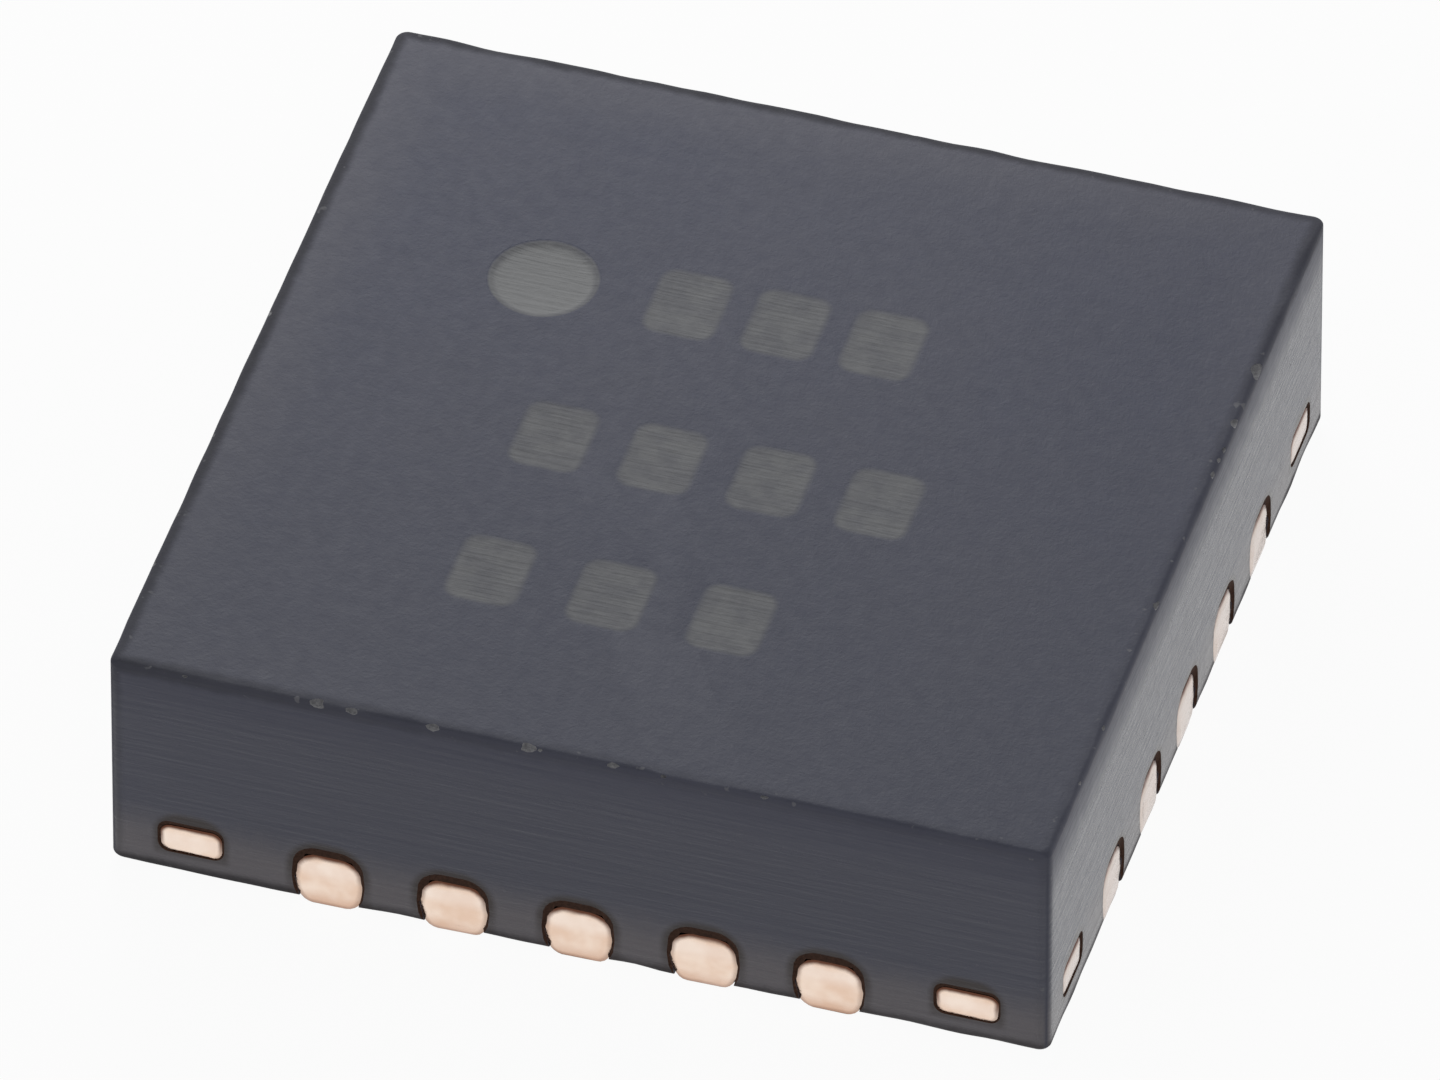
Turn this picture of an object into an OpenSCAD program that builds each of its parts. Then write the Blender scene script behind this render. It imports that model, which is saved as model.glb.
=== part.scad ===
// Quad flat no-lead chip package. A square moulded body holds an etched copper leadframe: terminals
// along its four sides and a die pad whose underside is left open. The die, its glue and
// its bond wires are sealed in the moulding.
// Millimetres. The origin is the centre of the seating plane, +Z is up, +X runs along the front wall
// to the right and +Y runs to the back wall. Terminals count counter-clockwise, seen from above,
// from the back end of the left wall.

/* [Moulded body] */
// Side of the square body
body_size = 3.00; // [2.9:0.05:4]
// Height of the top face over the seating plane
total_h = 0.85; // [0.7:0.05:1.2]
// Height of the moulding's underside over the seating plane
standoff = 0.02; // [0.01:0.005:0.04]

/* [Pin 1 dot] */
// Diameter of the shallow dot in the top face
dot_d = 0.33; // [0.2:0.01:0.4]
// Depth of the dot
dot_depth = 0.012; // [0.005:0.001:0.03]
// Centre of the dot from the left wall
dot_from_left = 0.77; // [0.4:0.01:1]
// Centre of the dot from the back wall
dot_from_back = 0.97; // [0.4:0.01:1.2]

/* [Leadframe sheet] */
// Thickness of the copper sheet
sheet_t = 0.203; // [0.16:0.001:0.25]
// Depth of the etch from below, which leaves the lips, ledge and tie bars thin
etch_depth = 0.10; // [0.08:0.005:0.12]
// Depth of the sawn copper ends behind the walls
end_recess = 0.01; // [0.002:0.001:0.02]

/* [Terminals] */
// Terminals on each side
per_side = 5; // [3:1:5]
// Distance from one terminal to the next
pitch = 0.40; // [0.36:0.01:0.42]
// Width of the land on the seating plane
land_w = 0.18; // [0.12:0.01:0.2]
// Width at the ridge that etching from both faces leaves part-way up
ridge_w = 0.22; // [0.2:0.01:0.25]
// Width of the top face, where the wire is bonded
top_w = 0.15; // [0.12:0.01:0.18]
// Length of the land from the wall inwards
land_l = 0.40; // [0.3:0.01:0.45]
// Length of the thin lip past the land's inner end
lip_l = 0.05; // [0.02:0.01:0.08]
// Radius of the round inner ends, over half the ridge, so that they run out into the flanks
tip_ease = 0.005; // [0.002:0.001:0.01]

/* [Die pad] */
// Side of the open underside
pad_size = 1.65; // [1.5:0.05:1.7]
// Width of the thin ledge round the open underside
pad_ledge = 0.05; // [0.02:0.01:0.08]
// Corner radius of the pad
pad_corner_r = 0.06; // [0.02:0.01:0.1]
// Length of the corner cut that points at terminal 1, along each side
pad_corner_cut = 0.30; // [0.2:0.01:0.4]

/* [Tie bars] */
// Width of the bar from the pad's corner to the fork
bar_w = 0.10; // [0.06:0.01:0.12]
// Width of the two arms of the fork
arm_w = 0.19; // [0.12:0.01:0.22]
// Narrowing of an arm's section at its top and bottom, each side
arm_ease = 0.02; // [0.01:0.005:0.04]
// Centre of an arm from the nearest parallel wall
arm_from_wall = 0.26; // [0.2:0.01:0.28]
// Least gap between a tie bar and the terminals beside it
bar_gap = 0.09; // [0.05:0.01:0.12]

/* [Die] */
// Side of the silicon die
die_size = 1.20; // [1:0.05:1.4]
// Thickness of the die
die_t = 0.20; // [0.1:0.01:0.25]
// Thickness of the glue under the die
glue_t = 0.02; // [0.01:0.005:0.04]
// Width and height of the glue's fillet round the die
glue_fillet = 0.05; // [0.02:0.01:0.08]

/* [Bond wires] */
// Diameter of the wire
wire_d = 0.025; // [0.018:0.001:0.03]
// Diameter of the ball bond on the die
ball_d = 0.065; // [0.05:0.005:0.08]
// Height of the ball bond
ball_h = 0.018; // [0.01:0.002:0.03]
// Distance from one ball bond to the next
ball_pitch = 0.20; // [0.12:0.01:0.22]
// Centre of the ball bonds from the die's edge
ball_inset = 0.06; // [0.05:0.01:0.1]
// Height of the wire's straight neck over the die
neck_h = 0.06; // [0.04:0.01:0.1]
// Radius of the bend over the neck, at the wire's centre
bend_r = 0.06; // [0.04:0.01:0.1]
// Diameter of the stitch on the terminal
stitch_d = 0.07; // [0.05:0.005:0.08]
// Height of the stitch
stitch_h = 0.012; // [0.006:0.001:0.02]
// Centre of the stitch from the terminal's inner tip
stitch_from_tip = 0.12; // [0.1:0.01:0.2]

/* [Hidden] */
$fn = 48;
half = body_size / 2;
terminal_count = 4 * per_side;
// Extra length by which a cut passes a face
through = 0.05;
// Inner end of the land and of the lip over it, from the centre
land_tip = half - land_l;
lip_tip = land_tip - lip_l;
tip_r = ridge_w / 2 + tip_ease;
// Middle line of a fork's arms, from the centre
arm_at = half - arm_from_wall;
// Faces of the stack
die_z = sheet_t + glue_t;
die_top = die_z + die_t;
// Ends of a wire, from the centre
ball_at = die_size / 2 - ball_inset;
stitch_at = lip_tip + stitch_from_tip;
// Sides of the wire's section and of its two bonds, and steps in its bend
wire_sides = 8;
bond_sides = 12;
bend_steps = 5;

mould_black = [0.33, 0.34, 0.38];
copper = [0.87, 0.72, 0.62];
silicon = [0.42, 0.45, 0.52];
glue_grey = [0.72, 0.72, 0.70];
gold = [0.92, 0.76, 0.36];

function two_digits(n) = n < 10 ? str("0", n) : str(n);
function terminal_name(n) = str("terminal_", two_digits(n));
function wire_name(n) = str("bond_wire_", two_digits(n));

// Sides count from the left wall, counter-clockwise. Shapes are drawn at the front wall and turned.
function side_turn(n) = 90 * (floor((n - 1) / per_side) - 1);
function row_place(n, step) = ((n - 1) % per_side - (per_side - 1) / 2) * step;

module rounded_square(side, r) {
    inner = side - 2 * r;
    square([side, inner], center = true);
    square([inner, side], center = true);
    for (x = [-1, 1], y = [-1, 1])
        translate([x * inner / 2, y * inner / 2])
            circle(r);
}

// Section of a terminal, etched from both faces so that its flanks meet in a ridge
module terminal_section() {
    polygon([
        [-land_w / 2, 0],
        [land_w / 2, 0],
        [ridge_w / 2, etch_depth],
        [top_w / 2, sheet_t],
        [-top_w / 2, sheet_t],
        [-ridge_w / 2, etch_depth]
    ]);
}

// Plan of terminal n at the front wall, from its round tip outwards. It is wider than the section,
// and keeps clear of the tie bars at both corners.
module terminal_plan(n, tip, reach) {
    round_at = tip + tip_r;
    clear = bar_w / 2 + bar_gap;
    difference() {
        translate([row_place(n, pitch), 0]) {
            translate([0, -round_at])
                circle(tip_r);
            translate([-pitch / 2, -(reach + through)])
                square([pitch, reach + through - round_at]);
        }
        for (turn = [-45, -135])
            rotate(turn)
                translate([0, -clear])
                    square([arm_at * sqrt(2), 2 * clear]);
    }
}

// One terminal in its place, with its outer end at the given reach from the centre
module terminal_form(n, reach) {
    rotate(side_turn(n))
        intersection() {
            translate([row_place(n, pitch), 0, 0])
                rotate([90, 0, 0])
                    linear_extrude(height = reach)
                        terminal_section();
            union() {
                linear_extrude(height = etch_depth)
                    terminal_plan(n, land_tip, reach);
                translate([0, 0, etch_depth])
                    linear_extrude(height = sheet_t - etch_depth)
                        terminal_plan(n, lip_tip, reach);
            }
        }
}

// Section of a fork's arm, thinned from below
module arm_section() {
    middle = (etch_depth + sheet_t) / 2;
    flat = arm_w / 2 - arm_ease;
    polygon([
        [-flat, etch_depth],
        [flat, etch_depth],
        [arm_w / 2, middle],
        [flat, sheet_t],
        [-flat, sheet_t],
        [-arm_w / 2, middle]
    ]);
}

// One arm of a fork, along +Y at the right back corner
module tie_arm(reach) {
    inner_end = arm_at - arm_w / 2;
    translate([arm_at, reach, 0])
        rotate([90, 0, 0])
            linear_extrude(height = reach - inner_end)
                arm_section();
}

// One tie bar, from the pad to the two walls of the right back corner
module tie_bar(reach) {
    translate([0, 0, etch_depth])
        linear_extrude(height = sheet_t - etch_depth)
            rotate(45)
                translate([pad_size / 2, -bar_w / 2])
                    square([arm_at * sqrt(2) - pad_size / 2, bar_w]);
    tie_arm(reach);
    mirror([1, -1, 0])
        tie_arm(reach);
}

// Open underside of the pad, with the corner cut that points at terminal 1
module pad_underside() {
    corner = pad_size / 2;
    difference() {
        rounded_square(pad_size, pad_corner_r);
        polygon([
            [-corner - through, corner + through],
            [-corner - through, corner - pad_corner_cut - through],
            [-corner + pad_corner_cut + through, corner + through]
        ]);
    }
}

// The die pad with its tie bars, ending at the given reach from the centre
module pad_form(reach) {
    linear_extrude(height = etch_depth)
        pad_underside();
    translate([0, 0, etch_depth])
        linear_extrude(height = sheet_t - etch_depth)
            rounded_square(pad_size + 2 * pad_ledge, pad_corner_r + pad_ledge);
    for (turn = [0 : 90 : 270])
        rotate(turn)
            tie_bar(reach);
}

module die_form() {
    translate([-die_size / 2, -die_size / 2, die_z])
        cube([die_size, die_size, die_t]);
}

// Glue under the die, with a fillet that climbs its sides
module glue_form() {
    foot = die_size + 2 * glue_fillet;
    difference() {
        union() {
            translate([0, 0, sheet_t])
                linear_extrude(height = glue_t)
                    rounded_square(foot, glue_fillet);
            for (turn = [0 : 90 : 270])
                rotate(turn)
                    glue_side();
        }
        die_form();
    }
}

// Fillet along the die's right side and round its right back corner
module glue_side() {
    edge = die_size / 2;
    translate([0, edge, die_z])
        rotate([90, 0, 0])
            linear_extrude(height = die_size)
                polygon([[0, 0], [edge + glue_fillet, 0], [edge, glue_fillet], [0, glue_fillet]]);
    translate([edge, edge, die_z])
        cylinder(r1 = glue_fillet, r2 = 0, h = glue_fillet);
}

// Slope of the straight span that leaves the bend and lands at [run, -drop] from the bend's foot
function span_slope(run, drop) =
    let (across = run - bend_r, down = neck_h + drop)
    atan2(down, across) + asin(bend_r / norm([across, down]));

// A ring of points round the wire's centre. The wire heads up and turns outwards by the angle given.
function wire_ring(out, up, turned) = [
    for (k = [0 : wire_sides - 1])
        let (a = 360 * (k + 0.5) / wire_sides, side = wire_d / 2 * cos(a))
        [out - side * cos(turned), wire_d / 2 * sin(a), up + side * sin(turned)]
];

// The bend's last ring, carried along the span down to a level plane
function landed_ring(ring, slope, level) = [
    for (p = ring)
        let (s = (p.z - level) / sin(slope))
        [p.x + s * cos(slope), p.y, level]
];

// Wire from its ball at the origin to its stitch, out along +X
function wire_rings(run, drop) =
    let (
        slope = span_slope(run, drop),
        bend = [
            for (k = [0 : bend_steps])
                let (a = (90 + slope) * k / bend_steps)
                wire_ring(bend_r * (1 - cos(a)), neck_h + bend_r * sin(a), a)
        ]
    )
    concat(
        [wire_ring(0, ball_h / 2, 0)],
        bend,
        [landed_ring(bend[bend_steps], slope, stitch_h / 2 - drop)]
    );

module swept(rings) {
    sides = len(rings[0]);
    last = len(rings) - 1;
    walls = [
        for (i = [0 : last - 1], k = [0 : sides - 1])
            let (a = i * sides + k, b = i * sides + (k + 1) % sides)
            each [[a, a + sides, b], [b, a + sides, b + sides]]
    ];
    near_end = [for (k = [0 : sides - 1]) k];
    far_end = [for (k = [sides - 1 : -1 : 0]) last * sides + k];
    polyhedron(points = [for (ring = rings) each ring], faces = concat([near_end], walls, [far_end]));
}

// One bond wire in its place, with its ball on the die and its stitch on the terminal
module wire_form(n) {
    ball = [row_place(n, ball_pitch), -ball_at];
    stitch = [row_place(n, pitch), -stitch_at];
    way = stitch - ball;
    rotate(side_turn(n))
        translate([ball.x, ball.y, die_top])
            rotate(atan2(way.y, way.x)) {
                cylinder(d = ball_d, h = ball_h, $fn = bond_sides);
                swept(wire_rings(norm(way), die_top - sheet_t));
                translate([norm(way), 0, sheet_t - die_top])
                    cylinder(d = stitch_d, h = stitch_h, $fn = bond_sides);
            }
}

module pin_1_dot() {
    translate([dot_from_left - half, half - dot_from_back, total_h - dot_depth])
        cylinder(d = dot_d, h = dot_depth + through);
}

// The moulding fills the body round everything that was laid in it
module mould_body() {
    color(mould_black)
        difference() {
            translate([-half, -half, standoff])
                cube([body_size, body_size, total_h - standoff]);
            pin_1_dot();
            pad_form(half + through);
            glue_form();
            die_form();
            for (n = [1 : terminal_count]) {
                terminal_form(n, half + through);
                wire_form(n);
            }
        }
}

module die_pad() {
    color(copper)
        pad_form(half - end_recess);
}

module die_attach() {
    color(glue_grey)
        glue_form();
}

module die() {
    color(silicon)
        die_form();
}

module terminal(n) {
    color(copper)
        terminal_form(n, half - end_recess);
}

module bond_wire(n) {
    color(gold)
        wire_form(n);
}

mould_body();
die_pad();
die_attach();
die();
for (n = [1 : terminal_count]) {
    terminal(n);
    bond_wire(n);
}
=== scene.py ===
"""Looks of a quad flat no-lead chip: its moulded body, sawn copper ends, plated lands and sealed insides.

Pieces are shaped in millimetres and brought to metres when they are finished. +Z is up, the front wall
faces -Y and the origin is the middle of the seating plane, as in the CAD frame.
"""
import math
import random

import bmesh
import bpy
from mathutils import Matrix, Vector, noise


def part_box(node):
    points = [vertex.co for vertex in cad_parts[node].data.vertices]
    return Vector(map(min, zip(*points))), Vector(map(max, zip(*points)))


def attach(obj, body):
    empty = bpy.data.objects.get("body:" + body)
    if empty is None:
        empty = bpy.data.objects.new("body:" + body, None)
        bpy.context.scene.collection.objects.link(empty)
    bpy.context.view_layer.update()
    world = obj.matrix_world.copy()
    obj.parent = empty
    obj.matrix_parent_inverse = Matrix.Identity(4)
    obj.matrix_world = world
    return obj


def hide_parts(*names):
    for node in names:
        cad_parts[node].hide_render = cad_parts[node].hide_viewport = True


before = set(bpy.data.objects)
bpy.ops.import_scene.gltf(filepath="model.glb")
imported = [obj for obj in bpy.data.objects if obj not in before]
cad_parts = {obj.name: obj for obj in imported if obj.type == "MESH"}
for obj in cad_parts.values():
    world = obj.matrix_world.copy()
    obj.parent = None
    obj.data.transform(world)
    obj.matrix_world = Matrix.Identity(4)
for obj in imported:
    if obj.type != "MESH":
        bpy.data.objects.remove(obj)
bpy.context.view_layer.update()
noise.seed_set(7)
MM = 0.001

# In millimetres: closer than this, points lie in one plane, are one point, or make an edge with no length
IN_PLANE, ONE_POINT, NO_LENGTH = 1e-4, 1e-5, 1e-6


def box_in_mm(node):
    low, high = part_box(node)
    return low / MM, high / MM


# Sizes from the frame, in millimetres
BODY_LOW, BODY_HIGH = box_in_mm("mould_body")
HALF, TOP, UNDERSIDE = BODY_HIGH.x, BODY_HIGH.z, BODY_LOW.z
LEAD_LOW, LEAD_HIGH = box_in_mm("terminal_08")
END_AT, LIP_TIP = -LEAD_LOW.y, -LEAD_HIGH.y
RIDGE_W, SHEET_T = LEAD_HIGH.x - LEAD_LOW.x, LEAD_HIGH.z
PITCH = box_in_mm("terminal_09")[0].x - LEAD_LOW.x

# Sizes and places that the CAD source gives, in millimetres
PER_SIDE = 5
ETCH = 0.10
LAND_W, TOP_W, LIP_L = 0.18, 0.15, 0.05
PAD, PAD_LEDGE, PAD_R, PAD_CUT = 1.65, 0.05, 0.06, 0.30
BAR_W, ARM_W, ARM_AT = 0.10, 0.19, 1.24
DOT_R, DOT_DEPTH, DOT_X, DOT_Y = 0.165, 0.012, -0.73, 0.53

# Outside of the body: upright corners, arrises whose width wanders by a share of itself, and the strip
# beside an arris that keeps the wall and the top flat
CORNER_R = 0.035
ARRIS_R, ARRIS_STEPS = 0.022, 8
ARRIS_WEAR, WEAR_SCALE = 0.6, 7
SIDE_PARTS = 72
HOLD = 0.008
BODY_CREASE = 13

# Pockets, cut with a block that lies just past the walls, and the mouths that the saw broke open round
# the copper, as depth behind the wall, reach past it and shares of the copper's outline
POCKET_PAST = 0.004
MOUTH_DEPTH, MOUTH_PAST = 0.010, 0.02
MOUTH_START, MOUTH_WIDER, MOUTH_HIGHER = 0.95, 1.28, 1.6

# Laser marks: rows of plain squares, as middle of the first one, step and count
MARK_ROWS = ((-0.27, 0.545, 0.315, 3), (-0.49, -0.145, 0.348, 4), (-0.50, -0.775, 0.385, 3))
MARK_W, MARK_H, MARK_R, MARK_DEPTH = 0.27, 0.33, 0.07, 0.004

# Soft sides of the grooves of the marks and the dot, as steps of inset and share of the depth
GROOVE_LIFT = 0.001
GROOVE_SIDES = ((0.014, 0.35), (0.018, 0.45), (0.014, 0.20))
DOT_SPREAD = 0.016

# Browned compound and painted shade round the copper ends: reach above an end, the part of it that is brown
# all over, how much less it reaches beside an end, and the heights between which it grows, at the arms too
HALO_W, HALO_CORE, HALO_SIDE = 0.074, 0.044, 0.036
HALO_RISE, ARM_HALO_RISE = (0.04, 0.17), (0.07, 0.10)

# Zones of the compound's colour, with painted light and painted shade among them: the distance or place
# where each starts, then where it is full
WALL_ZONE = (0.012, 0.002)
PAINTED_LIGHT_BORDER_ZONE = (0.30, 0.02)
BROW_ZONE = (0.24, 0.02)
PAINTED_LIGHT_FOOT_ZONE = (0.28, 0.09)
PAINTED_SHADE_FOOT_ZONE = (0.05, 0.015)
ARRIS_ZONE = (0.055, 0.02)
PAINTED_SHADE_FRONT_ZONE = (1.3, -1.5)
KEY_LAMP_SIDE_ZONE = (-2.2, 1.4)

# Chips along the upper edge, as turn from the front wall, place along it and radius
SEEN_CHIPS = ((0, -0.83, 0.019), (0, -0.72, 0.016), (0, -0.46, 0.020), (0, -0.16, 0.026),
              (90, 0.77, 0.024), (90, 0.52, 0.018), (90, -0.33, 0.016))

# More chips, drawn at random: count, seed, the share of a wall that they lie along and range of radius
MORE_CHIPS, CHIP_SEED, CHIP_ROW, CHIP_R = 14, 11, 0.95, (0.005, 0.011)

# Form of every chip, as shares of its radius, and how far inside the sharp edge its middle starts
CHIP_LENGTH, CHIP_OFF = (1.1, 2.0), (0.1, 0.35)
CHIP_RAGGED, CHIP_HEIGHT = 0.5, 0.7
CHIP_INSET = ARRIS_R * 0.3

# Places of the broken compounds in the body's list of materials
CHIPPED, BROWNED_AND_SHADED = 1, 2

# Steps down a lead from its top: height, width, and how far its tip is set back from the step above
LEAD_STEPS = (((SHEET_T + ETCH) / 2, (TOP_W + RIDGE_W) / 2, 0),
              (ETCH, RIDGE_W, 0),
              (ETCH - 0.01, RIDGE_W * 0.99, LIP_L * 0.9),
              (ETCH / 2, (RIDGE_W + LAND_W) / 2, LIP_L * 0.05),
              (0, LAND_W, LIP_L * 0.05))
LEAD_TIP_R = TOP_W * 0.49

# A bar is a little thinner than the pad's ledge, so that none of their faces coincide
BAR_THIN = 0.98

# Copper ends: the rounded outline that the saw smears, then two steps in and out that make a low dome.
# The arms' ends lie further out than the leads' and have lower domes
EDGE_ROUND, ARM_ROUND = 0.036, 0.032
SMEAR_L, SMEAR_POWER = 0.03, 3
END_ROUND = 0.004
END_DOME = ((0.020, 0.005), (0.014, 0.002))
ARM_END, ARM_SMEAR = 1.495, 1.06
ARM_DOME = ((0.016, 0.003), (0.012, 0.001))

# Unevenness of the copper
LEAD_WORN, PAD_WORN, WORN_SCALE = 0.0035, 0.0025, 22

# Zones of the copper's colour: how far out the sawn ends start, then heights on an end for the ruddy foot,
# the brown rim of oxide and painted shade, and the rise and fall of the painted highlight
END_ZONE = (END_AT - 0.02, END_AT - 0.004)
RUDDY_ZONE, RIM_ZONE = (0.07, 0.0), (0.10, 0.19)
PAINTED_HIGHLIGHT_RISE, PAINTED_HIGHLIGHT_FALL = (0.10, 0.15), (0.19, 0.165)

# Studio, in metres: the floor's middle is off the chip, so that the seam of its two triangles isn't
# under it, and its glow is the share of its white that needs no lamp
FLOOR_MIDDLE, FLOOR_HALF, FLOOR_DROP = (0.9, -0.4), 3.0, 0.002 * MM
FLOOR_GLOW, FLOOR_PAINT = 0.95, 0.8
KEY_PLACE, KEY_SIZE, KEY_SHARE = (-0.004, 0.0085, 0.0075), 0.006, 0.35
ROOM_SHARE = 0.34

# View of the photograph, whose frame is 1440 by 1080
AZIMUTH, ELEVATION = 16.873, 43.076
VIEW_DISTANCE = 0.12
FRAME_W, PIXELS_PER_MM = 1440, 324.17
SENSOR = 36
VIEW_SHIFT = (-0.0016 * MM, 0.2905 * MM)


# Mesh helpers

def verts_of(made):
    return [part for part in made["geom"] if isinstance(part, bmesh.types.BMVert)]


def faces_of(made):
    return [part for part in made["geom"] if isinstance(part, bmesh.types.BMFace)]


def flat_sheet(width, length, middle, height):
    """A bmesh with one level rectangle."""
    bm = bmesh.new()
    bmesh.ops.create_grid(bm, x_segments=1, y_segments=1, size=0.5)
    bmesh.ops.scale(bm, vec=(width, length, 1), verts=bm.verts)
    bmesh.ops.translate(bm, vec=(*middle, height), verts=bm.verts)
    return bm


def round_corners(bm, corners, radius, steps):
    bmesh.ops.bevel(bm, geom=corners, offset=radius, offset_type="OFFSET", affect="VERTICES",
                    segments=steps, profile=0.5, material=-1)


def round_edges(bm, edges, radius, steps):
    bmesh.ops.bevel(bm, geom=edges, offset=radius, offset_type="OFFSET", affect="EDGES",
                    segments=steps, profile=0.5, material=-1)


def drawn_out(bm, faces, way):
    """Extrudes faces and returns the new faces and their vertices. A lone sheet becomes a closed solid."""
    region = set(faces)
    on_a_solid = any(f not in region for face in faces for e in face.edges for f in e.link_faces)
    made = bmesh.ops.extrude_face_region(bm, geom=faces)
    if on_a_solid:
        bmesh.ops.delete(bm, geom=faces, context="FACES_ONLY")
    bmesh.ops.translate(bm, vec=way, verts=verts_of(made))
    return faces_of(made), verts_of(made)


def raised(bm, faces, rise):
    return drawn_out(bm, faces, (0, 0, rise))


def widen(bm, verts, factors, middle=(0, 0, 0)):
    bmesh.ops.scale(bm, vec=factors, space=Matrix.Translation(-Vector(middle)), verts=verts)


def turned(bm, degrees, verts=None):
    bmesh.ops.rotate(bm, cent=(0, 0, 0), matrix=Matrix.Rotation(math.radians(degrees), 3, "Z"),
                     verts=verts or bm.verts)


def gather(into, bm):
    """Adds one bmesh to another, which uses it up."""
    mesh = bpy.data.meshes.new("gathered")
    bm.to_mesh(mesh)
    into.from_mesh(mesh)
    bpy.data.meshes.remove(mesh)
    bm.free()


def cad_copy(node):
    """A welded copy of a CAD node, in millimetres, without the node's own shading."""
    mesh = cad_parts[node].data.copy()
    mesh.shade_smooth()
    shading = mesh.attributes.get("custom_normal")
    if shading:
        mesh.attributes.remove(shading)
    bm = bmesh.new()
    bm.from_mesh(mesh)
    bpy.data.meshes.remove(mesh)
    widen(bm, bm.verts, (1 / MM,) * 3)
    bmesh.ops.remove_doubles(bm, verts=bm.verts, dist=ONE_POINT)
    return bm


def combined(base, tool, operation, lapped=False):
    """Boolean of two bmeshes, which it uses up. Lapped says that solids of the tool run into each other."""
    objects = []
    for name, bm in (("base", base), ("tool", tool)):
        mesh = bpy.data.meshes.new(name)
        bm.to_mesh(mesh)
        bm.free()
        ob = bpy.data.objects.new(name, mesh)
        bpy.context.scene.collection.objects.link(ob)
        objects.append(ob)
    cut = objects[0].modifiers.new("cut", "BOOLEAN")
    cut.operation = operation
    cut.solver = "EXACT"
    cut.use_self = lapped
    cut.object = objects[1]
    graph = bpy.context.evaluated_depsgraph_get()
    result = bmesh.new()
    result.from_mesh(objects[0].evaluated_get(graph).data)
    for ob in objects:
        mesh = ob.data
        bpy.data.objects.remove(ob)
        bpy.data.meshes.remove(mesh)
    bmesh.ops.remove_doubles(result, verts=result.verts, dist=ONE_POINT)
    bmesh.ops.dissolve_degenerate(result, dist=NO_LENGTH, edges=result.edges)
    return result


def finished(name, bm, nodes, materials, crease=35):
    """A piece in metres, in place of CAD nodes. Edges past the crease and between finishes are sharp."""
    for e in bm.edges:
        e.smooth = (e.calc_face_angle() < math.radians(crease)
                    and e.link_faces[0].material_index == e.link_faces[1].material_index)
    for f in bm.faces:
        f.smooth = True
    widen(bm, bm.verts, (MM,) * 3)
    mesh = bpy.data.meshes.new(name)
    bm.to_mesh(mesh)
    bm.free()
    for material in materials:
        mesh.materials.append(material)
    piece = bpy.data.objects.new(name, mesh)
    bpy.context.scene.collection.objects.link(piece)
    even = piece.modifiers.new("even_shading", "WEIGHTED_NORMAL")
    even.keep_sharp = True
    even.weight = 100
    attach(piece, "root")
    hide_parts(*nodes)
    return piece


# Leadframe

def row_place(n):
    """Turn from the front wall and place along the wall of terminal n."""
    side, place = divmod(n - 1, PER_SIDE)
    return 90 * (side - 1), (place - (PER_SIDE - 1) / 2) * PITCH


def smear_end(bm, reach):
    """Widens the outer end of a lead to a rounder outline, as the saw drags soft copper sideways."""
    bmesh.ops.bisect_plane(bm, geom=bm.verts[:] + bm.edges[:] + bm.faces[:],
                           plane_co=(0, SMEAR_L - reach, 0), plane_no=(0, 1, 0))
    for v in bm.verts:
        if abs(v.co.y + reach) < IN_PLANE:
            rise = min(abs(2 * v.co.z / SHEET_T - 1), 1)
            full = RIDGE_W / 2 * (1 - rise ** SMEAR_POWER) ** (1 / SMEAR_POWER)
            v.co.x = math.copysign(max(abs(v.co.x), full), v.co.x)


def lead_form(reach):
    """A terminal at the middle of the front wall: a round-tipped plan, etched down to its land."""
    middle = -(LIP_TIP + reach) / 2
    bm = flat_sheet(TOP_W, reach - LIP_TIP, (0, middle), SHEET_T)
    tip = [v for v in bm.verts if v.co.y > middle]
    round_corners(bm, tip, LEAD_TIP_R, steps=7)
    floor = bm.faces[:]
    height, width = SHEET_T, TOP_W
    for low, wide, back in LEAD_STEPS:
        floor, ring = raised(bm, floor, low - height)
        widen(bm, ring, (wide / width, 1, 1))
        bmesh.ops.translate(bm, vec=(0, -back, 0), verts=[v for v in ring if v.co.y > middle])
        height, width = low, wide
    bmesh.ops.recalc_face_normals(bm, faces=bm.faces)
    outline = [e for e in bm.edges if not all(abs(v.co.y + reach) < IN_PLANE for v in e.verts)
               and any(all(abs(v.co.z - level) < IN_PLANE for v in e.verts) for level in (0, SHEET_T))]
    round_edges(bm, outline, EDGE_ROUND, steps=4)
    smear_end(bm, reach)
    return bm


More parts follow.
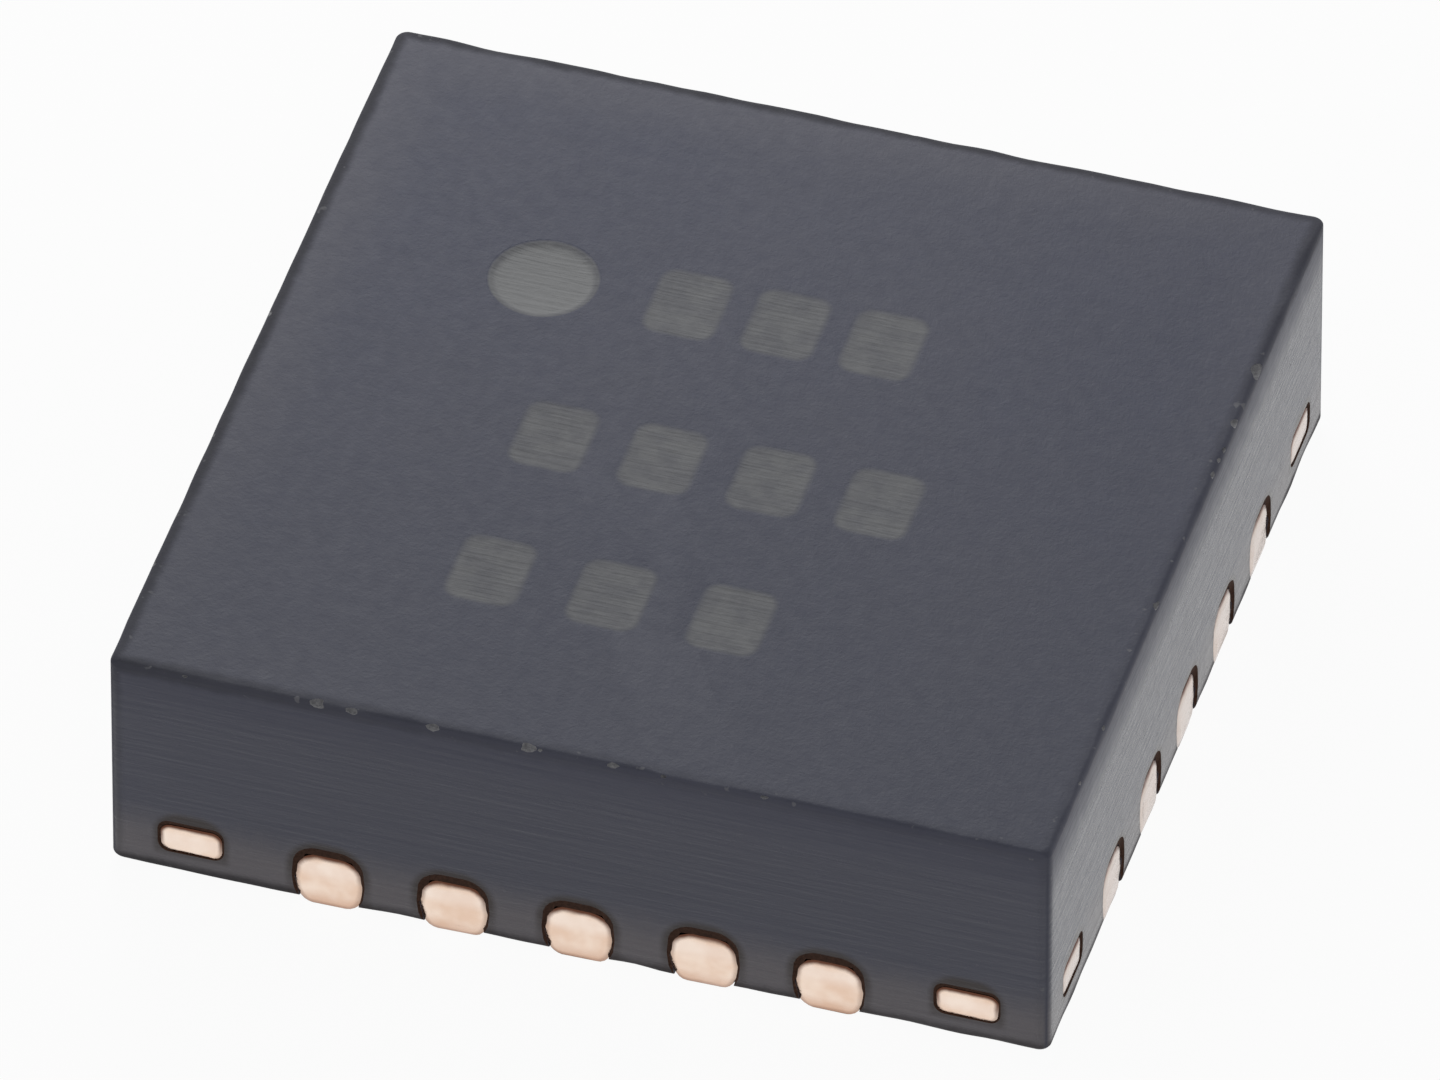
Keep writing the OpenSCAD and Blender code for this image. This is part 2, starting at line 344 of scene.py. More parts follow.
def pad_form(reach):
    """The die pad with its half-etched ledge, tie bars and forked arms."""
    bm = flat_sheet(PAD, PAD, (0, 0), 0)
    pin_1 = min(bm.verts, key=lambda v: v.co.x - v.co.y)
    others = [v for v in bm.verts if v is not pin_1]
    round_corners(bm, [pin_1], PAD_CUT, steps=1)
    round_corners(bm, [v for v in others if v.is_valid], PAD_R, steps=6)
    raised(bm, bm.faces[:], (ETCH + SHEET_T) / 2)
    bmesh.ops.recalc_face_normals(bm, faces=bm.faces)
    upper = flat_sheet(PAD + 2 * PAD_LEDGE, PAD + 2 * PAD_LEDGE, (0, 0), ETCH)
    round_corners(upper, upper.verts[:], PAD_R + PAD_LEDGE, steps=6)
    raised(upper, upper.faces[:], SHEET_T - ETCH)
    bmesh.ops.recalc_face_normals(upper, faces=upper.faces)
    thickness, middle_z = SHEET_T - ETCH, (SHEET_T + ETCH) / 2
    for corner in range(4):
        inner = PAD / 2
        outer = ARM_AT * math.sqrt(2)
        bar = bmesh.new()
        bmesh.ops.create_cube(bar, size=1)
        widen(bar, bar.verts, (outer - inner, BAR_W, thickness * BAR_THIN))
        bmesh.ops.translate(bar, vec=((inner + outer) / 2, 0, middle_z), verts=bar.verts)
        turned(bar, 45 + 90 * corner)
        gather(upper, bar)
        for place, quarter in ((ARM_AT, 0), (-ARM_AT, 1)):
            arm = bmesh.new()
            bmesh.ops.create_cube(arm, size=1)
            start = ARM_AT - ARM_W / 2
            widen(arm, arm.verts, (ARM_W, reach - start, thickness))
            bmesh.ops.translate(arm, vec=(place, (start + reach) / 2, middle_z), verts=arm.verts)
            long_edges = [e for e in arm.edges if abs(e.verts[0].co.y - e.verts[1].co.y) > 0.1]
            round_edges(arm, long_edges, ARM_ROUND, steps=5)
            bmesh.ops.bisect_plane(arm, geom=arm.verts[:] + arm.edges[:] + arm.faces[:],
                                   plane_co=(0, reach - SMEAR_L, 0), plane_no=(0, 1, 0))
            tip = [v for v in arm.verts if v.co.y > reach - IN_PLANE]
            widen(arm, tip, (ARM_SMEAR, 1, ARM_SMEAR), (place, 0, middle_z))
            turned(arm, 90 * (corner - quarter))
            gather(upper, arm)
    return combined(bm, upper, "UNION", lapped=True)


def end_faces(bm, reach):
    """Faces that lie on the planes of the outer ends, each end made one face."""
    def at_the_ends():
        return [f for f in bm.faces
                if any(all(abs(abs(v.co[axis]) - reach) < IN_PLANE for v in f.verts) for axis in (0, 1))]

    bmesh.ops.dissolve_faces(bm, faces=at_the_ends(), use_verts=False)
    return at_the_ends()


def mouth_tools(form, reach):
    """Cutters that flare the pockets at the wall, where the saw broke the moulding round the copper."""
    ends = end_faces(form, reach)
    bmesh.ops.delete(form, geom=[f for f in form.faces if f not in ends], context="FACES")
    for end in form.faces[:]:
        foot = end.calc_center_median()
        foot.z = min(v.co.z for v in end.verts)
        outward = end.normal * (MOUTH_DEPTH + MOUTH_PAST)
        mouth = drawn_out(form, [end], outward)[1]
        widen(form, mouth, (MOUTH_WIDER, MOUTH_WIDER, MOUTH_HIGHER), foot + outward)
        widen(form, end.verts[:], (MOUTH_START,) * 3, end.calc_center_median())
    bmesh.ops.recalc_face_normals(form, faces=form.faces)
    for f in form.faces:
        f.material_index = BROWNED_AND_SHADED
    return form


def dress_ends(bm, reach, dome):
    """Rounds and domes the sawn ends and marks their rims: 1 at the outline, 0 on the bright middle."""
    rim = bm.verts.layers.float.new("rim")
    edges = list({e for f in end_faces(bm, reach) for e in f.edges})
    round_edges(bm, edges, END_ROUND, steps=3)
    for v in bm.verts:
        v[rim] = 1.0
    ends = end_faces(bm, reach)
    for inset, out in dome:
        bmesh.ops.inset_individual(bm, faces=ends, thickness=inset, depth=out, use_even_offset=True)
        for v in {v for f in ends for v in f.verts}:
            v[rim] = 0.0
    return bm


def worn(bm, amount, scale, seed):
    """Nudges each vertex by smooth noise, but not off the wall, top or seating plane that it lies in.

    No vertex ends up past the walls or below the seating plane.
    """
    for v in bm.verts:
        nudge = noise.noise_vector(v.co * scale + Vector((seed, 0, 0))) * amount
        for axis, planes in enumerate(((HALF, END_AT), (HALF, END_AT), (TOP, UNDERSIDE, 0))):
            if any(abs(abs(v.co[axis]) - plane) < IN_PLANE for plane in planes):
                nudge[axis] = 0
        moved = v.co + nudge
        v.co = (min(max(moved.x, -HALF), HALF), min(max(moved.y, -HALF), HALF), max(moved.z, 0))
    return bm


# Moulded body

def wear_ring(ring, inset):
    """Makes the arris wider here and narrower there, for a ring that is set in by a share of its radius."""
    for v in ring:
        sharp = v.co * (HALF / (HALF - inset))
        width = 1 + ARRIS_WEAR * noise.noise(Vector((sharp.x, sharp.y, 0)) * WEAR_SCALE)
        edge = TOP if v.co.z > TOP / 2 else UNDERSIDE
        across = (HALF - inset * width) / HALF
        v.co = (sharp.x * across, sharp.y * across, edge + (v.co.z - edge) * width)


def rounded_block():
    """The body's outside, its plan drawn up through the worn lower and upper arrises."""
    bm = flat_sheet(2 * HALF, 2 * HALF, (0, 0), UNDERSIDE)
    round_corners(bm, bm.verts[:], CORNER_R, steps=8)
    sides = [e for e in bm.edges if e.calc_length() > HALF]
    bmesh.ops.bisect_edges(bm, edges=sides, cuts=SIDE_PARTS)
    steps = [math.radians(90) * k / ARRIS_STEPS for k in range(ARRIS_STEPS + 1)]
    profile = [(0, ARRIS_R + HOLD)]
    profile += [(ARRIS_R * (1 - math.cos(a)), ARRIS_R * (1 - math.sin(a))) for a in steps]
    profile += [(ARRIS_R + HOLD, 0)]
    levels = [(UNDERSIDE + rise, inset) for rise, inset in profile]
    levels += [(TOP - rise, inset) for rise, inset in reversed(profile)]
    height, half = UNDERSIDE, HALF
    cap, ring = bm.faces[:], bm.verts[:]
    rings = []
    for level, inset in levels:
        if rings:
            cap, ring = raised(bm, cap, level - height)
        widen(bm, ring, ((HALF - inset) / half,) * 2 + (1,))
        height, half = level, HALF - inset
        rings.append((ring, inset))
    for ring, inset in rings:
        wear_ring(ring, inset)
    bmesh.ops.recalc_face_normals(bm, faces=bm.faces)
    return bm


def groove_tool(bm, depth):
    """A level shape made into a cutter for a shallow groove with soft sides, let into the top face."""
    bmesh.ops.translate(bm, vec=(0, 0, TOP + GROOVE_LIFT), verts=bm.verts)
    floor = bm.faces[:]
    raised(bm, floor, 2 * GROOVE_LIFT)
    bmesh.ops.recalc_face_normals(bm, faces=bm.faces)
    for inset, share in GROOVE_SIDES:
        bmesh.ops.inset_region(bm, faces=floor, thickness=inset, depth=share * (depth + GROOVE_LIFT),
                               use_boundary=True, use_even_offset=True)
    return bm


def mark_tools(into):
    """The rows of plain squares and the dot of the first terminal."""
    for x, y, step, count in MARK_ROWS:
        for k in range(count):
            mark = flat_sheet(MARK_W, MARK_H, (x + k * step, y), 0)
            round_corners(mark, mark.verts[:], MARK_R, steps=5)
            gather(into, groove_tool(mark, MARK_DEPTH))
    dot = bmesh.new()
    bmesh.ops.create_circle(dot, cap_ends=True, segments=64, radius=DOT_R + DOT_SPREAD)
    bmesh.ops.translate(dot, vec=(DOT_X, DOT_Y, 0), verts=dot.verts)
    gather(into, groove_tool(dot, DOT_DEPTH))


def chip_tools(into):
    """Small ragged lumps along the upper edge, which break chips out of it."""
    draw = random.Random(CHIP_SEED)
    chips = list(SEEN_CHIPS)
    for _ in range(MORE_CHIPS):
        turn = draw.choice((0, 90, 180, 270))
        along = draw.uniform(-HALF, HALF) * CHIP_ROW
        chips.append((turn, along, draw.uniform(*CHIP_R)))
    for k, (turn, along, radius) in enumerate(chips):
        chip = bmesh.new()
        bmesh.ops.create_icosphere(chip, subdivisions=2, radius=radius)
        for v in chip.verts:
            v.co *= 1 + CHIP_RAGGED * noise.noise(v.co / radius * 1.3 + Vector((k * 7.3, 0, 0)))
        widen(chip, chip.verts, (draw.uniform(*CHIP_LENGTH), 1.0, CHIP_HEIGHT))
        off = radius * draw.uniform(*CHIP_OFF)
        place = (along, -HALF + CHIP_INSET - off, TOP - CHIP_INSET + off)
        bmesh.ops.translate(chip, vec=place, verts=chip.verts)
        turned(chip, turn)
        for f in chip.faces:
            f.material_index = CHIPPED
        gather(into, chip)


def pocket_block():
    """The CAD moulding with its outside pushed just past the walls and its dot filled, for its pockets."""
    bm = cad_copy("mould_body")
    for v in bm.verts:
        if v.co.z > TOP - 2 * DOT_DEPTH:
            v.co.z = TOP
        for axis, planes in enumerate(((HALF, -HALF), (HALF, -HALF), (TOP, UNDERSIDE))):
            for plane, way in zip(planes, (1, -1)):
                if abs(v.co[axis] - plane) < IN_PLANE:
                    v.co[axis] += way * POCKET_PAST
    bmesh.ops.remove_doubles(bm, verts=bm.verts, dist=ONE_POINT)
    return bm


def moulded_body():
    body = combined(rounded_block(), pocket_block(), "INTERSECT")
    tools = bmesh.new()
    mouth = mouth_tools(lead_form(HALF - MOUTH_DEPTH), HALF - MOUTH_DEPTH)
    for n in range(1, 4 * PER_SIDE + 1):
        turn, along = row_place(n)
        copy = mouth.copy()
        bmesh.ops.translate(copy, vec=(along, 0, 0), verts=copy.verts)
        turned(copy, turn)
        gather(tools, copy)
    mouth.free()
    gather(tools, mouth_tools(pad_form(HALF - MOUTH_DEPTH), HALF - MOUTH_DEPTH))
    mark_tools(tools)
    chip_tools(tools)
    return combined(body, tools, "DIFFERENCE", lapped=True)


# Materials

def shade(red, green, blue):
    """A screen colour, 0 to 255, as the linear colour that a shader takes."""
    return tuple(((c / 255 + 0.055) / 1.055) ** 2.4 for c in (red, green, blue)) + (1.0,)


class Finish:
    """One procedural material, with short calls for the nodes that it is made of."""

    def __init__(self, name):
        self.material = bpy.data.materials.new(name)
        self.material.use_nodes = True
        self.tree = self.material.node_tree
        self.shader = self.tree.nodes["Principled BSDF"]
        place = self.add("ShaderNodeTexCoord").outputs["Object"]
        self.place = self.add("ShaderNodeVectorMath", place, (1 / MM,) * 3, operation="MULTIPLY").outputs[0]
        self.x, self.y, self.z = self.add("ShaderNodeSeparateXYZ", self.place).outputs[:]

    def add(self, kind, *inputs, **settings):
        node = self.tree.nodes.new(kind)
        for key, value in settings.items():
            setattr(node, key, value)
        for socket, value in zip(node.inputs, inputs):
            self.feed(socket, value)
        return node

    def feed(self, socket, value):
        if isinstance(value, bpy.types.NodeSocket):
            self.tree.links.new(value, socket)
        else:
            socket.default_value = value

    def math(self, operation, *values):
        return self.add("ShaderNodeMath", *values, operation=operation).outputs[0]

    def ramp(self, value, start, end):
        """0 at start, 1 at end, smooth between them."""
        node = self.add("ShaderNodeMapRange", value, start, end, 0.0, 1.0, interpolation_type="SMOOTHSTEP")
        return node.outputs[0]

    def span(self, value, low, high):
        """A value from 0 to 1 spread from low to high."""
        return self.add("ShaderNodeMapRange", value, 0.0, 1.0, low, high).outputs[0]

    def mix(self, share, first, second, blend="MIX"):
        node = self.add("ShaderNodeMix", data_type="RGBA", blend_type=blend)
        for index, value in ((0, share), (6, first), (7, second)):
            self.feed(node.inputs[index], value)
        return node.outputs[2]

    def stretched(self, *factors):
        return self.add("ShaderNodeVectorMath", self.place, factors, operation="MULTIPLY").outputs[0]

    def noise(self, scale, detail=2.0, roughness=0.5, place=None):
        node = self.add("ShaderNodeTexNoise", place or self.place)
        node.inputs["Scale"].default_value = scale
        node.inputs["Detail"].default_value = detail
        node.inputs["Roughness"].default_value = roughness
        return node.outputs["Fac"]

    def bump(self, height, depth, below=None):
        """Surface relief of a depth in millimetres, over that of a normal before it."""
        node = self.add("ShaderNodeBump")
        self.feed(node.inputs["Height"], height)
        node.inputs["Distance"].default_value = depth * MM
        if below:
            self.feed(node.inputs["Normal"], below)
        return node.outputs[0]

    def outermost(self):
        """The larger of the distances from the middle along X and Y."""
        return self.math("MAXIMUM", self.math("ABSOLUTE", self.x), self.math("ABSOLUTE", self.y))

    def wear(self, colour, roughness, normal):
        self.feed(self.shader.inputs["Base Color"], colour)
        self.feed(self.shader.inputs["Roughness"], roughness)
        self.feed(self.shader.inputs["Normal"], normal)
        return self.material


def compound_base(f):
    """Slate grey of the moulding compound: cloudy, patchy and finely grained."""
    cloud = f.ramp(f.noise(0.9, 3, 0.55), 0.3, 0.7)
    colour = f.mix(cloud, shade(62, 65, 83), shade(68, 70, 86))
    patch = f.span(f.noise(4.5, 2, 0.5), 0.92, 1.08)
    grain = f.span(f.noise(70, 2, 0.7), 0.86, 1.14)
    tone = f.math("MULTIPLY", patch, grain)
    return f.mix(1.0, colour, f.add("ShaderNodeCombineColor", tone, tone, tone).outputs[0], "MULTIPLY")


def browning_and_shade_round_copper(f):
    """1 round the copper ends on the walls, 0 away from them, and weaker beside an end than above it."""
    along = f.math("MINIMUM", f.math("ABSOLUTE", f.x), f.math("ABSOLUTE", f.y))
    folded = f.math("PINGPONG", along, PITCH / 2)
    in_a_row = f.math("LESS_THAN", along, PITCH * (PER_SIDE / 2))

    def nearness(place, half_w, corner):
        out = f.math("MAXIMUM", f.math("SUBTRACT", place, half_w - corner), 0.0)
        up = f.math("MAXIMUM", f.math("SUBTRACT", f.z, SHEET_T - corner), 0.0)
        gap = f.math("SQRT", f.math("ADD", f.math("MULTIPLY", out, out), f.math("MULTIPLY", up, up)))
        return f.ramp(gap, corner + HALO_W, corner + HALO_CORE)

    leads = f.math("MULTIPLY", nearness(folded, RIDGE_W / 2 - HALO_SIDE, RIDGE_W / 4), in_a_row)
    beside_arm = f.math("ABSOLUTE", f.math("SUBTRACT", along, ARM_AT))
    arms = nearness(beside_arm, ARM_W / 2 - HALO_SIDE, ARM_ROUND)
    arms = f.math("MULTIPLY", arms, f.ramp(f.z, *ARM_HALO_RISE))
    rising = f.span(f.ramp(f.z, *HALO_RISE), 0.4, 1.0)
    return f.math("MULTIPLY", f.math("MAXIMUM", leads, arms), rising)


def mould_compound():
    f = Finish("mould_compound")
    f.shader.inputs["Specular IOR Level"].default_value = 0.4
    out = f.outermost()
    from_wall = f.math("SUBTRACT", HALF, out)
    below_top = f.math("SUBTRACT", TOP, f.z)
    ragged = f.span(f.noise(14, 3, 0.6), -0.012, 0.012)
    wall = f.ramp(from_wall, *WALL_ZONE)
    top = f.ramp(below_top, *WALL_ZONE)
    colour = compound_base(f)

    # Painted light: a lighter border on the top face, strongest toward the key lamp at the back left
    painted_light_border = f.ramp(f.math("ADD", from_wall, f.math("MULTIPLY", ragged, 6.0)), *PAINTED_LIGHT_BORDER_ZONE)
    toward_key_lamp = f.ramp(f.math("SUBTRACT", f.y, f.x), *KEY_LAMP_SIDE_ZONE)
    painted_light_border = f.math("MULTIPLY", f.math("MULTIPLY", painted_light_border, top), toward_key_lamp)
    colour = f.mix(f.math("MULTIPLY", painted_light_border, 0.6), colour, shade(88, 88, 99))

    # Painted shade: the top face darker toward the front, away from the key lamp
    painted_shade_to_front = f.math("MULTIPLY", f.ramp(f.y, *PAINTED_SHADE_FRONT_ZONE), top)
    colour = f.mix(f.math("MULTIPLY", painted_shade_to_front, 0.5), colour, shade(52, 55, 70))
    streaks = f.noise(1.0, 3, 0.6, f.stretched(2.5, 2.5, 60))
    sawn = f.mix(streaks, shade(76, 78, 97), shade(98, 99, 115))
    colour = f.mix(f.math("MULTIPLY", wall, 0.7), colour, sawn)
    brow = f.math("ADD", below_top, f.math("MULTIPLY", ragged, 2.0))
    brow = f.math("MULTIPLY", f.ramp(brow, *BROW_ZONE), wall)
    colour = f.mix(f.math("MULTIPLY", brow, 0.14), colour, shade(54, 54, 60))
    above_foot = f.math("SUBTRACT", f.z, UNDERSIDE)
    # Painted light: a lighter band low on the walls, standing in for light from the bright copper ends
    painted_light_foot = f.math("ADD", above_foot, f.math("MULTIPLY", ragged, 3.0))
    painted_light_foot = f.math("MULTIPLY", f.ramp(painted_light_foot, *PAINTED_LIGHT_FOOT_ZONE), wall)
    colour = f.mix(f.math("MULTIPLY", painted_light_foot, 0.75), colour, shade(132, 126, 129))
    # Painted shade: a dark line along the foot of the walls, where they meet the floor
    painted_shade_foot_line = f.math("ADD", above_foot, ragged)
    painted_shade_foot_line = f.math("MULTIPLY", f.ramp(painted_shade_foot_line, *PAINTED_SHADE_FOOT_ZONE), wall)
    colour = f.mix(f.math("MULTIPLY", painted_shade_foot_line, 0.6), colour, shade(46, 42, 40))

    corner = f.math("ADD", from_wall, below_top)
    foot = f.math("ADD", from_wall, above_foot)
    upright = f.math("SUBTRACT", 2 * HALF, f.math("ADD", f.math("ABSOLUTE", f.x), f.math("ABSOLUTE", f.y)))
    nearest = f.math("MINIMUM", f.math("MINIMUM", corner, foot), upright)
    arris = f.ramp(f.math("ADD", nearest, ragged), *ARRIS_ZONE)
    # Painted shade along the arrises, stronger toward the key lamp's side; the pale flecks below are chips
    painted_shade_arris = f.math("MULTIPLY", arris, f.span(toward_key_lamp, 0.15, 0.7))
    colour = f.mix(painted_shade_arris, colour, shade(48, 48, 51))
    fleck = f.math("MULTIPLY", arris, f.ramp(f.noise(24, 2, 0.5), 0.66, 0.74))
    colour = f.mix(f.math("MULTIPLY", fleck, 0.5), colour, shade(132, 132, 136))

    # Brown round the copper ends: burnt compound and painted shade in one
    browning_and_shade = f.math("MULTIPLY", f.math("MULTIPLY", browning_and_shade_round_copper(f), wall), 0.9)
    colour = f.mix(browning_and_shade, colour, shade(50, 36, 30))

    inside = f.ramp(from_wall, 0.08, 0.14)
    burnt = f.math("MULTIPLY", f.ramp(below_top, 0.0, MARK_DEPTH * 0.9), f.ramp(below_top, 0.02, 0.016))
    burnt = f.math("MULTIPLY", burnt, inside)
    ash = f.mix(f.ramp(f.noise(16, 2, 0.5), 0.3, 0.7), shade(112, 113, 117), shade(124, 125, 127))
    ash = f.mix(f.ramp(below_top, MARK_DEPTH, DOT_DEPTH * 0.9), ash, shade(142, 143, 144))
    colour = f.mix(f.math("MULTIPLY", burnt, 0.95), colour, ash)

    grain = f.noise(60, 3, 0.7)
    scan = f.noise(1.0, 1, 0.5, f.stretched(6, 70, 6))
    relief = f.bump(f.math("MULTIPLY", grain, f.span(wall, 1.0, 0.45)), 0.0022)
    relief = f.bump(f.math("MULTIPLY", streaks, wall), 0.003, relief)
    relief = f.bump(f.math("MULTIPLY", scan, burnt), 0.004, relief)
    rough = f.span(f.noise(20, 2, 0.5), 0.52, 0.64)
    rough = f.math("ADD", rough, f.math("MULTIPLY", burnt, 0.15))
    rough = f.math("SUBTRACT", rough, f.math("MULTIPLY", wall, 0.33))
    rough = f.math("ADD", rough, f.math("MULTIPLY", brow, 0.25))
    rough = f.math("ADD", rough, f.math("MULTIPLY", painted_shade_foot_line, 0.4))
    rough = f.math("ADD", rough, f.math("MULTIPLY", painted_shade_arris, 0.3))
    return f.wear(colour, rough, relief)


def chipped_compound():
    """Freshly broken compound, paler than the moulded skin."""
    f = Finish("chipped_compound")
    f.shader.inputs["Specular IOR Level"].default_value = 0.3
    grain = f.noise(90, 3, 0.7)
    colour = f.mix(f.ramp(grain, 0.3, 0.7), shade(124, 124, 128), shade(160, 160, 163))
    return f.wear(colour, f.span(grain, 0.6, 0.8), f.bump(grain, 0.004))


def browned_and_shaded_compound():
    """Compound that the saw broke and burnt round the copper, its dark brown also painted shade in the
    broken mouths.
    """
    f = Finish("browned_and_shaded_compound")
    f.shader.inputs["Specular IOR Level"].default_value = 0.08
    grain = f.noise(90, 3, 0.7)
    colour = f.mix(f.ramp(grain, 0.3, 0.7), shade(66, 48, 40), shade(92, 68, 57))
    return f.wear(colour, f.span(grain, 0.7, 0.85), f.bump(grain, 0.003))


def sawn_copper():
    """Bare copper on the sawn ends with a painted highlight, its upper rim brown with oxide and painted
    shade, and greyer painted reflection on the X walls. Tin elsewhere.
    """
    f = Finish("sawn_copper_and_tin")
    f.shader.inputs["Metallic"].default_value = 1.0
    end = f.ramp(f.outermost(), *END_ZONE)
    rim = f.add("ShaderNodeAttribute", attribute_name="rim").outputs["Fac"]
    mottle = f.noise(28, 3, 0.6)
    copper = f.mix(f.ramp(f.noise(11, 2, 0.5), 0.3, 0.7), shade(233, 203, 181), shade(245, 224, 207))
    ruddy = f.ramp(f.z, *RUDDY_ZONE)
    copper = f.mix(f.math("MULTIPLY", ruddy, 0.75), copper, shade(204, 162, 136))
    # Painted highlight on the upper part of an end
    painted_highlight = f.math("MULTIPLY", f.ramp(f.z, *PAINTED_HIGHLIGHT_RISE), f.ramp(f.z, *PAINTED_HIGHLIGHT_FALL))
    copper = f.mix(f.math("MULTIPLY", painted_highlight, 0.4), copper, shade(252, 238, 228))
    # Painted reflection: the ends on the X walls greyer and paler than those on the Y walls
    painted_reflection_on_x_walls = f.ramp(f.math("ABSOLUTE", f.x), *END_ZONE)
    copper = f.mix(f.math("MULTIPLY", painted_reflection_on_x_walls, 0.6), copper, shade(180, 173, 171))
    # The upper rim browned: oxide and painted shade under the dark compound above
    edge = f.ramp(f.math("ADD", rim, f.span(mottle, -0.15, 0.15)), 0.05, 0.95)
    high = f.span(f.ramp(f.z, *RIM_ZONE), 0.4, 1.0)
    copper = f.mix(f.math("MULTIPLY", edge, high), copper, shade(96, 62, 48))
    tin = f.mix(f.ramp(mottle, 0.35, 0.65), shade(188, 187, 186), shade(214, 213, 211))
    colour = f.mix(end, tin, copper)
    cuts = f.noise(1.0, 2, 0.6, f.stretched(5, 5, 160))
    relief = f.bump(f.math("MULTIPLY", cuts, end), 0.0009)
    relief = f.bump(f.noise(55, 2, 0.6), 0.0015, relief)
    rough = f.math("SUBTRACT", f.span(mottle, 0.34, 0.46), f.math("MULTIPLY", end, 0.22))
    return f.wear(colour, rough, relief)


def plain_inside(name, dark, pale, scale, rough, metallic, depth):
    """A sealed-in surface: two tones of one colour over a fine grain."""
    f = Finish(name)
    f.shader.inputs["Metallic"].default_value = metallic
    grain = f.noise(scale, 3, 0.6)
    colour = f.mix(f.ramp(grain, 0.3, 0.7), shade(*dark), shade(*pale))
    return f.wear(colour, f.span(grain, rough, rough + 0.15), f.bump(grain, depth))


# Pieces

compounds = [mould_compound(), chipped_compound(), browned_and_shaded_compound()]
finished("moulded_body", moulded_body(), ["mould_body"], compounds, crease=BODY_CREASE)

copper = sawn_copper()
for number in range(1, 4 * PER_SIDE + 1):
    turn, along = row_place(number)
    lead = dress_ends(lead_form(END_AT), END_AT, END_DOME)
    bmesh.ops.translate(lead, vec=(along, 0, 0), verts=lead.verts)
    turned(lead, turn)
    worn(lead, LEAD_WORN, WORN_SCALE, seed=number * 3.1)
    finished(f"lead_{number:02d}", lead, [f"terminal_{number:02d}"], [copper])
pad = worn(dress_ends(pad_form(ARM_END), ARM_END, ARM_DOME), PAD_WORN, WORN_SCALE, seed=0.7)
finished("pad_with_tie_bars", pad, ["die_pad"], [copper])

INSIDES = {
    "die": plain_inside("polished_silicon", (74, 80, 94), (92, 98, 112),
                        scale=26, rough=0.18, metallic=0.3, depth=0.0006),
    "die_attach": plain_inside("silver_glue", (168, 167, 163), (198, 197, 193),
                               scale=34, rough=0.45, metallic=0.4, depth=0.002),
    "bond_wire": plain_inside("bond_gold", (214, 170, 84), (240, 204, 124),
                              scale=60, rough=0.22, metallic=1.0, depth=0.0008),
}
for name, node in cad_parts.items():
    kind = name.rstrip("0123456789").rstrip("_")
    if kind in INSIDES:
        node.data.materials.clear()
        node.data.materials.append(INSIDES[kind])


# Studio

def soft_lamp(name, place, size, share):
    """A square lamp aimed at the chip. A share of 1 lights a facing surface to its written colour."""
    lamp = bpy.data.lights.new(name, "AREA")
    lamp.shape = "SQUARE"
    lamp.size = size
    where = Vector(place)
    aim = Vector((0, 0, TOP * MM / 2)) - where
    lamp.energy = share * math.pi ** 2 * aim.length_squared
    ob = bpy.data.objects.new(name, lamp)
    ob.location = where
    ob.rotation_euler = aim.to_track_quat("-Z", "Y").to_euler()
    bpy.context.scene.collection.objects.link(ob)


def seen_share(tree, least):
    """1 for what the eye, a reflection or a clear piece sees, and the least share for other rays."""
    rays = tree.nodes.new("ShaderNodeLightPath")
    seen = rays.outputs["Is Camera Ray"]
    for kind in ("Is Glossy Ray", "Is Transmission Ray"):
        larger = tree.nodes.new("ShaderNodeMath")
        larger.operation = "MAXIMUM"
        tree.links.new(seen, larger.inputs[0])
        tree.links.new(rays.outputs[kind], larger.inputs[1])
        seen = larger.outputs[0]
    share = tree.nodes.new("ShaderNodeMapRange")
    share.inputs["To Min"].default_value = least
    tree.links.new(seen, share.inputs["Value"])
    return share


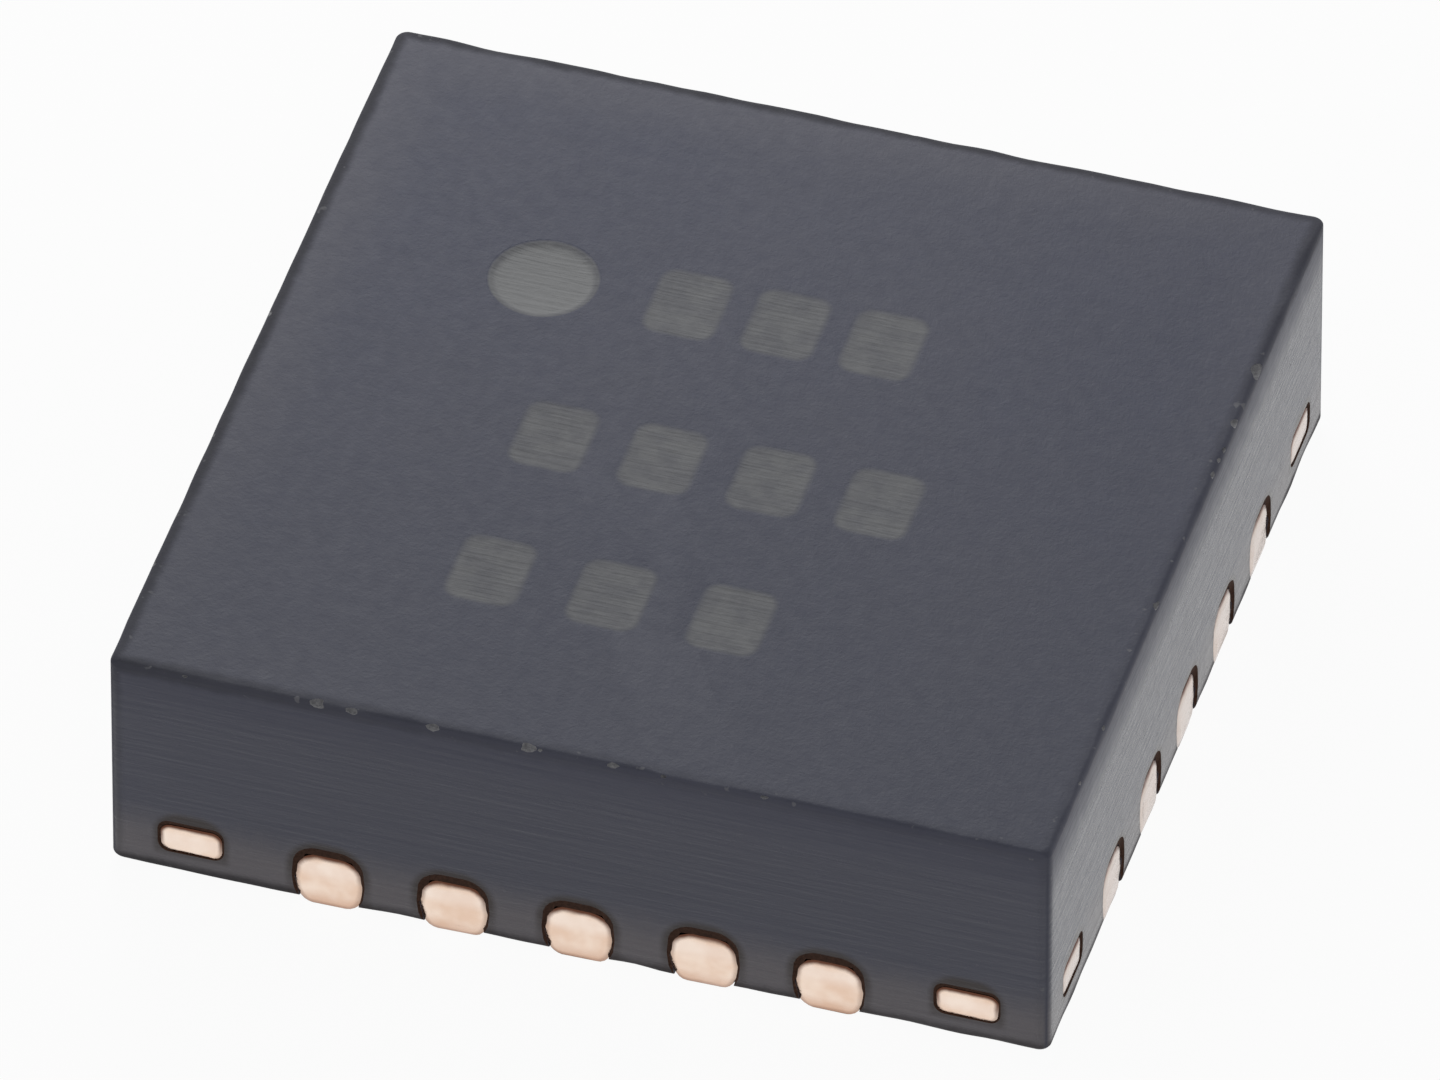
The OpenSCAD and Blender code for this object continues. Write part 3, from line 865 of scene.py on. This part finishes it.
def floor_white():
    """White to the eye and in reflections, with the chip's shadow kept. Seen from below it is clear."""
    material = bpy.data.materials.new("studio_floor")
    material.use_nodes = True
    tree = material.node_tree
    tree.nodes.clear()
    add = tree.nodes.new
    share = seen_share(tree, 0.0)
    share.inputs["To Max"].default_value = FLOOR_GLOW
    paint = add("ShaderNodeBsdfDiffuse")
    paint.inputs["Color"].default_value = (FLOOR_PAINT,) * 3 + (1,)
    glow = add("ShaderNodeEmission")
    lit = add("ShaderNodeMixShader")
    tree.links.new(share.outputs[0], lit.inputs[0])
    tree.links.new(paint.outputs[0], lit.inputs[1])
    tree.links.new(glow.outputs[0], lit.inputs[2])
    clear = add("ShaderNodeBsdfTransparent")
    side = add("ShaderNodeNewGeometry")
    both = add("ShaderNodeMixShader")
    tree.links.new(side.outputs["Backfacing"], both.inputs[0])
    tree.links.new(lit.outputs[0], both.inputs[1])
    tree.links.new(clear.outputs[0], both.inputs[2])
    out = add("ShaderNodeOutputMaterial")
    tree.links.new(both.outputs[0], out.inputs["Surface"])
    return material


def studio_floor():
    bm = bmesh.new()
    bmesh.ops.create_grid(bm, x_segments=1, y_segments=1, size=FLOOR_HALF)
    bmesh.ops.translate(bm, vec=(*FLOOR_MIDDLE, -FLOOR_DROP), verts=bm.verts)
    mesh = bpy.data.meshes.new("studio_floor")
    bm.to_mesh(mesh)
    bm.free()
    mesh.materials.append(floor_white())
    floor = bpy.data.objects.new("studio_floor", mesh)
    bpy.context.scene.collection.objects.link(floor)


def plain_world(share):
    world = bpy.data.worlds.new("soft_room")
    world.use_nodes = True
    tree = world.node_tree
    background = tree.nodes["Background"]
    background.inputs["Color"].default_value = (1, 1, 1, 1)
    tree.links.new(seen_share(tree, share).outputs[0], background.inputs["Strength"])
    bpy.context.scene.world = world


def photo_camera():
    turn, tilt = math.radians(AZIMUTH), math.radians(ELEVATION)
    back = Vector((math.sin(turn) * math.cos(tilt), -math.cos(turn) * math.cos(tilt), math.sin(tilt)))
    right = Vector((math.cos(turn), math.sin(turn), 0))
    up = back.cross(right)
    lens = bpy.data.cameras.new("photo_camera")
    lens.sensor_width = SENSOR
    lens.lens = SENSOR * PIXELS_PER_MM * VIEW_DISTANCE / MM / FRAME_W
    lens.clip_start = VIEW_DISTANCE / 10
    lens.clip_end = 100
    camera = bpy.data.objects.new("photo_camera", lens)
    camera.location = back * VIEW_DISTANCE + right * VIEW_SHIFT[0] + up * VIEW_SHIFT[1]
    camera.location.z += UNDERSIDE * MM
    camera.rotation_euler = Matrix((right, up, back)).transposed().to_euler()
    bpy.context.scene.collection.objects.link(camera)
    bpy.context.scene.camera = camera


studio_floor()
soft_lamp("key_lamp", KEY_PLACE, KEY_SIZE, KEY_SHARE)
plain_world(ROOM_SHARE)
photo_camera()
bpy.context.scene.view_settings.view_transform = "Standard"
